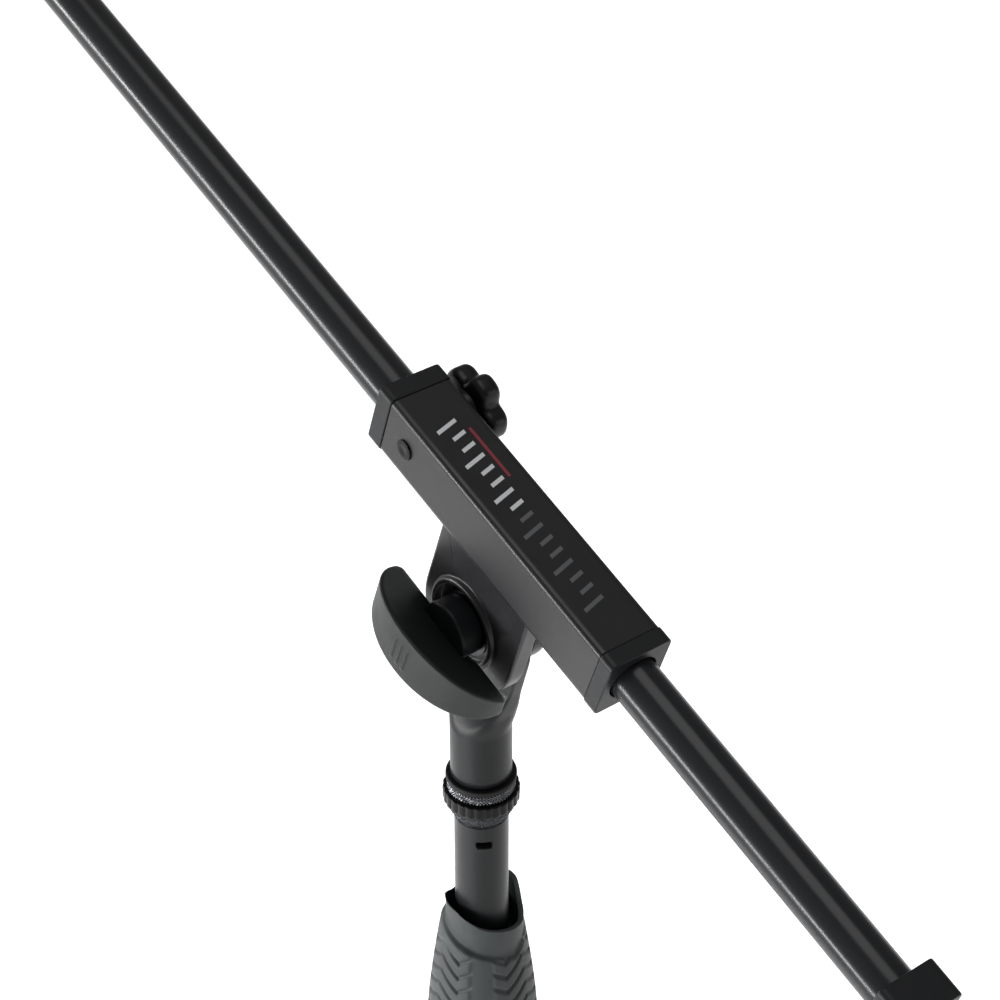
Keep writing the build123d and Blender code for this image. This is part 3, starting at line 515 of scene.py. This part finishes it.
# lug: outline rings round its edge, then circles up the boss, into the recess and through the bolt hole
lug = {"half": 23.4, "shift": 2.0, "inner": 0.6, "outer": 7.0, "edge": 1.3, "boss": 16.0, "bossFace": 8.5,
       "recess": 14.2, "recessDepth": 3.0, "hole": 4.05, "top": 35.2}
arc = np.linspace(0, np.pi, 90)
outline = np.vstack([np.stack([lug["half"] * np.cos(arc) - lug["shift"], lug["half"] * np.sin(arc)], 1),
                     [(-lug["half"] - lug["shift"], -lug["top"]), (lug["half"] - lug["shift"], -lug["top"])]])
outline = finer(outline, 1.2, True)
skin = lofted(outline, rounded([(3.4, lug["inner"], 0), (0, lug["inner"], 0.6),
                                (0, lug["outer"], lug["edge"]), (3.4, lug["outer"], 0)], gap=1.5),
              np.clip((outline[:, 1] + lug["top"] - 0.6) / 5, 0, 1))
recessFloor = lug["bossFace"] - lug["recessDepth"]
up = radial(outline, rounded([(17.8, lug["outer"], 0), (lug["boss"] + 0.7, lug["outer"], 0.9),
                              (lug["boss"] - 0.3, lug["bossFace"], 0.9),
                              (lug["recess"], lug["bossFace"], 0.3),
                              (lug["recess"], recessFloor, 0.4), (lug["hole"], recessFloor, 0.2),
                              (lug["hole"], lug["inner"], 0.2), (17.4, lug["inner"], 0)]))
piece("housingLug", [shell(np.concatenate([skin, up]), True)], lugAxes, coatedHousing, "boom_head")

caps = {"width": 24.0, "height": 24.8, "corner": 2.4, "edge": 0.7, "bore": 8.7, "seam": 0.12}
outline = boxOutline(caps["width"], caps["height"], caps["corner"])
for name, node in (("rearCap", "rear_cap"), ("frontCap", "front_cap")):
    low, high = span(node, boomAxes)
    low, high = (low, high - caps["seam"]) if node == "rear_cap" else (low + caps["seam"], high)
    piece(name, [hollowBlock(outline, low, high, caps["edge"], caps["bore"], 0.5)], boomAxes, mouldedAbs,
          "boom_head", [node])

# plain printed mark on top of the housing: long and short bars, light and then grey, and a red line
mark = {"first": 36.0, "step": -5.2, "bar": 1.5, "low": -2.5, "high": 6.0, "short": 3.0, "lean": -0.25,
        "lift": 0.05}


def markBars(starts, width, low, high, lean):
    # flat bars on the housing's top, each a closed slab: x across, y up, z along the boom
    surfaces = []
    for begin, top in zip(starts, np.broadcast_to(high, len(starts))):
        z = np.array([begin, begin + width, begin + width + lean * (top - low), begin + lean * (top - low)])
        ring = np.stack([(low, low, top, top), np.full(4, housing["height"] / 2 + mark["lift"]), z], 1)
        surfaces.append(shell(np.stack([ring - (0, 0.15, 0), ring])))
    return surfaces


def ink(name, colour):
    # screen-printed enamel ink: flat and slightly glossy
    return finish(name, colour, colour, 0.4, 0.06, 0.4, 0.004)


bars = mark["first"] + mark["step"] * np.arange(16)
barTops = np.where(np.arange(16) % 3 == 0, mark["high"], mark["short"])
piece("markLight", markBars(bars[:8], mark["bar"], mark["low"], barTops[:8], mark["lean"]), boomAxes,
      ink("whiteInk", "#c4c5c8"), "boom_head")
piece("markGrey", markBars(bars[8:], mark["bar"], mark["low"], barTops[8:], mark["lean"]), boomAxes,
      ink("greyInk", "#4b4c4f"), "boom_head")
piece("markRed", markBars([10], 22, -5.2, -4.1, 0), boomAxes, ink("redInk", "#7d1420"), "boom_head")

plug = {"radius": 3.6, "rim": 0.5}
low, high = span("side_plug", plugAxes)
corners = [(0.01, low, 0), (2.7, low, 0.2), (2.7, high - 0.85, 0.1), (plug["radius"], high - 0.85, 0.1),
           (plug["radius"], high - 0.1, plug["rim"]), (2.2, high, 0.5), (0.01, high - 0.25, 0)]
piece("sidePlug", [shell(turned(rounded(corners), 64))], plugAxes, glossAbs, "boom_head",
      ["side_plug"])
print("housing made")


# hand knobs: radius is R minus scallop times hollow(angle), and each ring blends from that to a circle

def knobSurface(radius, scallop, lobes, path, turn=0, cols=200):
    # path holds (share of the lobes, radius or inset, height)
    angle = np.linspace(0, 2 * np.pi, cols, endpoint=False)[None, :]
    hollow = (0.5 + 0.5 * np.cos((angle - np.radians(turn)) * lobes)) ** 2
    share, size, height = (path[:, i][:, None] for i in range(3))
    r = share * (radius - scallop * hollow - size) + (1 - share) * size
    return np.stack([r * np.cos(angle), r * np.sin(angle), height + 0 * r], -1)


def knobPath(low, neckTop, high, neck, bore, boreTop, edge):
    # bore, neck, underside, lobed side with rounded edges, and a shallow dish in the end
    t = np.linspace(0, np.pi / 2, 7)
    side = [(0, bore, boreTop), (0, bore, low), (0, neck - 0.4, low), (0, neck, low + 0.4),
            (0, neck, neckTop - 0.3), (0, neck + 0.4, neckTop), (1, edge * 1.3, neckTop)]
    side += [(1, edge * (1 - np.sin(a)), neckTop + edge * (1 - np.cos(a))) for a in t]
    side += [(1, 0, high - edge * 1.5)]
    side += [(1, edge * (1 - np.cos(a)), high - edge * (1 - np.sin(a))) for a in t]
    side += [(1, edge * 1.4, high), (0.5, 5.0, high + 0.1), (0, 7.0, high), (0, 6.4, high - 0.7),
             (0, 3.0, high - 1.0), (0, 0.01, high - 1.0)]
    return np.array(side)


def threadRings(radius, depth, pitch, low, high, cols=48, chamfer=0.8):
    # screw thread: radius drops by depth * |sin| of half the turn angle plus height over pitch
    rows = max(int((high - low) / pitch * 7), 8)
    height = np.linspace(low, high, rows)
    angle = np.linspace(0, 2 * np.pi, cols, endpoint=False)[None, :]
    wave = np.abs(np.sin(angle / 2 + np.pi * height[:, None] / pitch))
    r = radius - depth * (1 - wave)
    r = np.minimum(r, radius - depth + np.clip((high - height[:, None]) / chamfer, -1, 1) * depth)
    return np.stack([r * np.cos(angle), r * np.sin(angle), height[:, None] + 0 * r], -1)


clampKnob = {"radius": 14.0, "scallop": 3.4, "lobes": 5, "neck": 7.5, "edge": 2.6, "length": 8.0, "turn": -8}
low, high = span("clamp_knob", clampAxes)
path = knobPath(low, high - clampKnob["length"], high, clampKnob["neck"], 4.02, high - 4, clampKnob["edge"])
piece("clampKnob", [shell(knobSurface(clampKnob["radius"], clampKnob["scallop"], clampKnob["lobes"], path,
                                      clampKnob["turn"]))],
      clampAxes, knobNylon, "boom_clamp", ["clamp_knob"], sharp=60)
low, high = span("clamp_screw", clampAxes)
piece("clampScrew", [shell(threadRings(4.0, 0.45, 1.25, low, high))], clampAxes, zincPlate, "boom_clamp",
      ["clamp_screw"], sharp=70)

lockKnob = {"radius": 17.0, "scallop": 3.9, "lobes": 5, "neck": 9.0, "edge": 3.0}
low, high = span("hub_lock_knob", lockAxes)
path = knobPath(low, low + 3.7, high, lockKnob["neck"], 4.02, high - 4, lockKnob["edge"])
piece("hubLockKnob", [shell(knobSurface(lockKnob["radius"], lockKnob["scallop"], lockKnob["lobes"], path))],
      lockAxes, knobNylon, "hub_lock", ["hub_lock_knob"], sharp=60)
print("knobs made")


# tilt handle: sections across its length are rounded boxes between the chord and the half ellipse

handle = {"angle": 20.0, "halfSpan": 30.5, "land": 2.4, "depth": 20.7, "half": 10.5, "edge": 1.9,
          "slope": 0.604, "hollowHalf": 11.6, "hollowDepth": 4.6, "hollowSoft": 1.3,
          "ribPitch": 3.0, "ribHeight": 0.45}
lean = np.radians(handle["angle"])
handleFace = span("handle_grip", pivotAxes)[0]
handleAxes = axes(pivot + np.array([0, handleFace, 0]) * mm, (np.cos(lean), 0, np.sin(lean)), (0, 1, 0))
inner = np.linspace(-14, 14, 113)
outerX = handle["halfSpan"] * np.sin(np.linspace(np.radians(27.5), np.radians(89.2), 60))
x = np.concatenate([-outerX[::-1], inner, outerX])
tip = np.maximum(handle["edge"] - (handle["halfSpan"] - np.abs(x)), 0)
cut = handle["edge"] - np.sqrt(np.maximum(handle["edge"] ** 2 - tip**2, 0))
hollow = handle["hollowDepth"] / (1 + np.exp((np.abs(x) - handle["hollowHalf"]) * 3 / handle["hollowSoft"]))
chord = np.maximum(cut, hollow)
crown = handle["land"] + handle["depth"] * np.sqrt(1 - (x / handle["halfSpan"]) ** 2)
crown = np.maximum(crown, chord + 0.3)
half = handle["half"] - cut * 0.8
radius = np.minimum(np.minimum(handle["edge"], (crown - chord) / 2), half)
side = np.linspace(0, 1, 33)
turnRound = np.linspace(0, np.pi / 2, 9)
corner = np.stack([np.cos(turnRound), np.sin(turnRound)], 1)
# one section: four quarter circles with straight sides between them, as shares of the corner radius
quarters = [(1, 1, corner), (-1, 1, corner[:, ::-1] * (1, 1)), (-1, -1, corner), (1, -1, corner[:, ::-1])]
sectionT, sectionY = [], []
middleY, halfY = (crown + chord)[:, None] / 2, (crown - chord)[:, None] / 2
for index, (signT, signY, arcPoints) in enumerate(quarters):
    t = signT * (half[:, None] - radius[:, None] * (1 - arcPoints[None, :, 0]))
    y = middleY + signY * (halfY - radius[:, None] * (1 - arcPoints[None, :, 1]))
    sectionT.append(t)
    sectionY.append(y)
    nextSign = quarters[(index + 1) % 4]
    endT = nextSign[0] * (half[:, None] - radius[:, None] * (1 - nextSign[2][None, :1, 0]))
    endY = middleY + nextSign[1] * (halfY - radius[:, None] * (1 - nextSign[2][None, :1, 1]))
    between = np.linspace(0, 1, 34)[1:-1][None, :]
    sectionT.append(t[:, -1:] + (endT - t[:, -1:]) * between)
    sectionY.append(y[:, -1:] + (endY - y[:, -1:]) * between)
t, y = np.concatenate(sectionT, 1), np.concatenate(sectionY, 1)
# three short plain ribs on the crown, in place of a moulded mark
onCrown = (y > middleY + halfY * 0.8) & (np.abs(t) < 9.5)
wave = np.clip(np.cos(x[:, None] / handle["ribPitch"] * 2 * np.pi) * 2, -1, 1) * 0.5 + 0.5
field = 1 / (1 + np.exp((np.abs(x[:, None]) - 4.4) * 6)) / (1 + np.exp((np.abs(t) - 5.2) * 5))
y = y + np.where(onCrown, handle["ribHeight"] * wave * field, 0)
# the upper face slopes: its height is half - slope * (distance from the crown's foremost line)
upper = handle["half"] - handle["slope"] * np.clip(handle["land"] + handle["depth"] - y, 0, None)
t = -handle["half"] + (t + handle["half"]) / (2 * handle["half"]) * (upper + handle["half"])
points = np.stack([x[:, None] + 0 * t, y, t], -1)
piece("handleGrip", [shell(points)], handleAxes, softRubber, "tilt_handle", ["handle_grip"],
      sharp=60)

hub = {"radius": 10.4, "reach": 5.4, "bolt": 4.0, "boltReach": 3.6, "head": 6.4, "headHeight": 5.0}
low, high = span("handle_core", pivotAxes)
end, boltEnd = handleFace + hub["reach"], handleFace + hub["boltReach"]
path = rounded([(0.01, boltEnd + 0.3, 0), (hub["bolt"] + 0.05, boltEnd + 0.3, 0.2),
                (hub["bolt"] + 0.05, low, 0.3), (hub["radius"], low, 0.8), (hub["radius"], end, 1.0),
                (0.01, end, 0)])
piece("handleHub", [shell(turned(path, 96))], pivotAxes, mouldedAbs, "tilt_handle",
      ["handle_core"])
low, high = span("pivot_bolt", pivotAxes)
path = rounded([(0.01, low, 0), (hub["head"], low, 0.5), (hub["head"], low + hub["headHeight"], 0.3),
                (hub["bolt"], low + hub["headHeight"], 0.1), (hub["bolt"], boltEnd, 0.5), (0.01, boltEnd, 0)])
piece("pivotBolt", [shell(turned(path, 72))], pivotAxes, zincPlate, "swivel_head",
      ["pivot_bolt"])
print("handle made")


# clutch grip: a turned body with a smooth band, zigzag tread and a collar whose rim rises and falls

grip = {"front": 142.7, "collar": 13.9, "well": 12.86, "offset": 1.0, "band": 15, "pitch": 6.4, "zigzag": 3.0,
        "zigzagLength": 9.0, "groove": 0.9, "grooveShare": 0.26}
# height of the rim below the pivot for angles from the front, growing towards the right
rimAngle = [-180, -126, -105, -90, -70, -45, 0, 45, 80, 95, 105, 121, 137, 155, 180]
rimDrop = [131, 131, 128, 125.5, 125.5, 125.1, 129.9, 133.5, 136, 134.5, 133.4, 124.9, 123.9, 127, 131]
# top edge of the tread, and the body's radius at drops below the pivot
treadAngle = [-180, -110, -90, -50, 0, 50, 80, 110, 180]
treadDrop = [138, 136, 134.8, 138.3, 143, 147, 142, 137.5, 138]
bodyDrop = [134, 140, 148, 163.5, 171.5, 190, 212, 231]
bodyRadius = [14.3, 15.4, 16.4, 18.5, 19.3, 20.4, 19.4, 17.4]
pivotHeight = pivot[2] / mm
gripLow = span("clutch_grip", mastAxes)[0]
crownBottom = span("clutch_sleeve", mastAxes)[1] + 1.9
cols = 420
angle = np.linspace(0, 2 * np.pi, cols, endpoint=False)
facing = np.mod(np.degrees(angle) - grip["front"] + 180, 360) - 180


def smoothAround(values):
    # running mean over about 9 degrees
    width = 11
    padded = np.concatenate([values[-width:], values, values[:width]])
    return np.convolve(padded, np.ones(width) / width, "same")[width:-width]


rim = smoothAround(pivotHeight - np.interp(facing, rimAngle, rimDrop))
treadTop = smoothAround(pivotHeight - np.interp(facing, treadAngle, treadDrop))
v = np.linspace(0, 1, 230)[:, None]
height = gripLow + 0.3 + (rim[None, :] - 0.35 - gripLow - 0.3) * v**0.85
drop = pivotHeight - height
curve = np.polynomial.Polynomial.fit(bodyDrop, bodyRadius, 5)
body = curve(drop)
around = np.radians(facing)[None, :] * 17
fold = np.abs(np.mod(around / grip["zigzagLength"], 2) - 1) * 2 - 1
phase = np.mod((drop + fold * grip["zigzag"]) / grip["pitch"], 1)
groove = 1 / (1 + np.exp((np.abs(phase - 0.5) - grip["grooveShare"] / 2) * 42))
tread = 1 / (1 + np.exp(-(np.abs(facing)[None, :] - grip["band"]) * 0.9))
below = 1 / (1 + np.exp((height - treadTop[None, :]) * 3.2))
shaped = body - 0.5 * (1 - tread) - grip["groove"] * groove * tread * np.clip((drop - 140) / 6, 0, 1)
collarShift = grip["offset"] * np.sin(np.radians(facing))[None, :]
radius = np.maximum(grip["collar"] + collarShift, 0) * (1 - below) + shaped * below
lipRadius = (grip["collar"] + collarShift[0] + grip["well"]) / 2
rows = [np.stack([radius * np.cos(angle), radius * np.sin(angle), height], -1)]
for r, h in ((lipRadius + 0.3, rim - 0.05), (lipRadius, rim), (grip["well"] + 0.1, rim - 0.3),
             (grip["well"], rim - 1.2), (grip["well"], crownBottom + 0.02 + 0 * rim),
             (14.6, crownBottom + 0 * rim), (14.6, gripLow + 0.3 + 0 * rim), (16.2, gripLow + 0 * rim)):
    r = r + 0 * angle
    rows.append(np.stack([r * np.cos(angle), r * np.sin(angle), h + 0 * angle], -1)[None])
piece("clutchGrip", [shell(np.concatenate(rows), True)], mastAxes, gripRubber, "clutch",
      ["clutch_grip"], sharp=50)

tube = {"plugRadius": 12.4}
low, high = span("tube_plug", mastAxes)
corners = [(0.01, low, 0), (tube["plugRadius"], low, 2.0), (tube["plugRadius"], low + 5, 0.4),
           (10.18, low + 5, 0.1), (10.18, high - 0.4, 0.5), (0.01, high - 0.4, 0)]
piece("tubePlug", [shell(turned(rounded(corners), 96))], mastAxes, mouldedAbs, "base",
      ["tube_plug"])
print("clutch made")


# boom ends

stop = {"width": 21.8, "height": 22.6, "corner": 2.4, "edge": 0.9, "endWall": 2.2}
low, high = span("boom_end_stop", boomAxes)
outline = boxOutline(stop["width"], stop["height"], stop["corner"])
skin = lofted(outline, rounded([(stop["edge"] * 1.6, low, 0), (0, low, stop["edge"]), (0, high, stop["edge"]),
                                (stop["edge"] * 1.6, high, 0)], gap=6))
bore = radial(outline, rounded([(9.2, high, 0), (8.02, high, 0.4), (8.02, low + stop["endWall"], 0.2),
                                (0.01, low + stop["endWall"], 0)]))
back = radial(outline, np.array([(0.01, low), (6.0, low)]))
piece("boomEndStop", [shell(np.concatenate([back, skin, bore]))], boomAxes, mouldedAbs, "boom",
      ["boom_end_stop"])

fitting = {"flange": 10.0, "flangeLength": 8.0, "thread": 7.94, "pitch": 0.941, "plug": 6.78}
low, high = span("mic_fitting", boomAxes)
corners = [(0.01, low, 0), (fitting["plug"], low, 0.6), (fitting["plug"], boomEnd, 0.1),
           (fitting["flange"], boomEnd, 0.7), (fitting["flange"], boomEnd + fitting["flangeLength"], 0.7),
           (fitting["thread"] - 0.6, boomEnd + fitting["flangeLength"], 0)]
fittingKnurl = within(diamonds(rings["knurlPitch"], 10, 0.3), boomEnd + 0.8, boomEnd + 7.2)
base = turned(finer(rounded(corners), 0.28), 330, lambda a, r, h: np.where(r > 9.2, fittingKnurl(a, r, h), 0))
thread = threadRings(fitting["thread"], 0.55, fitting["pitch"], boomEnd + fitting["flangeLength"] - 0.3,
                     high, cols=72)
piece("micFitting", [shell(base), shell(thread)], boomAxes, zincPlate, "boom",
      ["mic_fitting"], sharp=70)
print("boom ends made")


# legs: tubes and feet along each leg's own direction; feet are cut flat where they stand

leg = {"slope": 10.5, "radius": 8.0, "wall": 1.2, "start": 24.0, "length": 288.0, "footRadius": 11.0,
       "footStart": 262.0, "footEnd": 294.0, "ribPitch": 4.0, "ribDepth": 0.7}
dip = np.radians(leg["slope"])
for sideName in ("front", "left", "right"):
    hinge = np.array(joints["leg_fold_" + sideName]["pos_m"])
    outward = hinge * (1, 1, 0) / np.linalg.norm(hinge[:2])
    along = outward * np.cos(dip) - np.array([0, 0, np.sin(dip)])
    across = np.cross((0, 0, 1), outward)
    legAxes = axes(hinge, across, np.cross(along, across))
    title = sideName.capitalize()
    legWall = tubeRings(leg["start"], leg["length"], leg["radius"], leg["wall"], 0.4, 72)
    piece("legTube" + title, [shell(legWall, True)], legAxes, coatedTube, "leg_" + sideName,
          ["leg_tube_" + sideName])
    corners = [(leg["radius"] + 0.02, leg["footStart"], 0.3),
               (leg["footRadius"] - 0.4, leg["footStart"], 0.9),
               (leg["footRadius"], leg["footStart"] + 6, 1), (leg["footRadius"], leg["footEnd"], 3.0),
               (0.01, leg["footEnd"], 0)]
    path = finer(rounded(corners), 0.5)
    path = np.vstack([(0.01, leg["length"]), (leg["radius"] + 0.02, leg["length"]), path])

    def footShift(angle, r, h):
        wave = np.cos((h - leg["footStart"] - 9) / leg["ribPitch"] * 2 * np.pi)
        wave = np.clip(wave * 3, -1, 1) * 0.5 + 0.5
        zone = (h > leg["footStart"] + 6.5) & (h < leg["footStart"] + 22.8) & (r > leg["footRadius"] - 0.3)
        return np.where(zone, -leg["ribDepth"] * wave, 0)

    rubber = turned(path, 84, footShift)
    level = placed(rubber.reshape(-1, 3), legAxes)
    level[:, 2] = np.maximum(level[:, 2], 0)
    rubber = ((level - legAxes[0]) @ legAxes[1].T / mm).reshape(rubber.shape)
    piece("legFoot" + title, [shell(rubber)], legAxes, nitrile, "leg_" + sideName,
          ["leg_foot_" + sideName])
print("legs made")


# plain pale floor and soft studio light

studio = {"floor": 14.0, "skyTone": "#ffffff", "sky": 0.28, "sun": 1.0, "sunSpread": 40,
          "glow": 0.55}
floorMesh = bpy.data.meshes.new("studioFloor")
f = studio["floor"]
under = -0.5 * mm  # a hair below the feet
floorMesh.from_pydata([(-f, -f, under), (f, -f, under), (f, f, under), (-f, f, under)], [], [(0, 1, 2, 3)])
# backlit paper sweep: matt white that glows by itself, so that the lamps above can stay soft
paper = finish("matPaper", "#fbfbfb", "#f8f8f8", 0.9, 0.02, 2.0, 0.01, specular=0.1, patch=400)
paperShader = next(node for node in paper.node_tree.nodes if node.type == "BSDF_PRINCIPLED")
paperShader.inputs["Emission Color"].default_value = linear("#ffffff")
paperShader.inputs["Emission Strength"].default_value = studio["glow"]
floorMesh.materials.append(paper)
floorObject = bpy.data.objects.new("studioFloor", floorMesh)
bpy.context.scene.collection.objects.link(floorObject)

world = bpy.data.worlds.new("studioWorld")
bpy.context.scene.world = world
world.use_nodes = True
sky = world.node_tree.nodes["Background"]
sky.inputs["Color"].default_value = linear(studio["skyTone"])
sky.inputs["Strength"].default_value = studio["sky"]


def softbox(name, towards, distance, width, height, power, lie=(0, 0, 1)):
    # rectangular light that looks at the clamp head; towards is the direction from the head to the light,
    # and the light's width lies across the direction called lie
    towards = np.array(towards, float) / np.linalg.norm(towards)
    light = bpy.data.lights.new(name, "AREA")
    light.shape, light.size, light.size_y, light.energy = "RECTANGLE", width, height, power
    flat = np.cross(lie, towards)
    flat = flat / np.linalg.norm(flat)
    lamp = bpy.data.objects.new(name, light)
    spot = np.eye(4)
    spot[:3, :3] = np.array([flat, np.cross(towards, flat), towards]).T
    spot[:3, 3] = pivot + towards * distance
    lamp.matrix_world = Matrix(spot.tolist())
    lamp.visible_camera = False
    bpy.context.scene.collection.objects.link(lamp)


stripSide = (0.482, 0.868, -0.116)
softbox("boomStrip", stripSide, 1.7, 3.4, 0.14, 75, lie=np.cross(stripSide, boomDir))
softbox("rimSoftbox", (-1.0, -0.7, 0.25), 2.6, 0.5, 1.6, 8)
overhead = bpy.data.lights.new("overheadLight", "SUN")
overhead.energy, overhead.angle = studio["sun"], np.radians(studio["sunSpread"])
overheadObject = bpy.data.objects.new("overheadLight", overhead)
overheadObject.location = (0, 0, 3)
bpy.context.scene.collection.objects.link(overheadObject)
bpy.context.scene.view_settings.view_transform = "Standard"
print("floor and lights made")
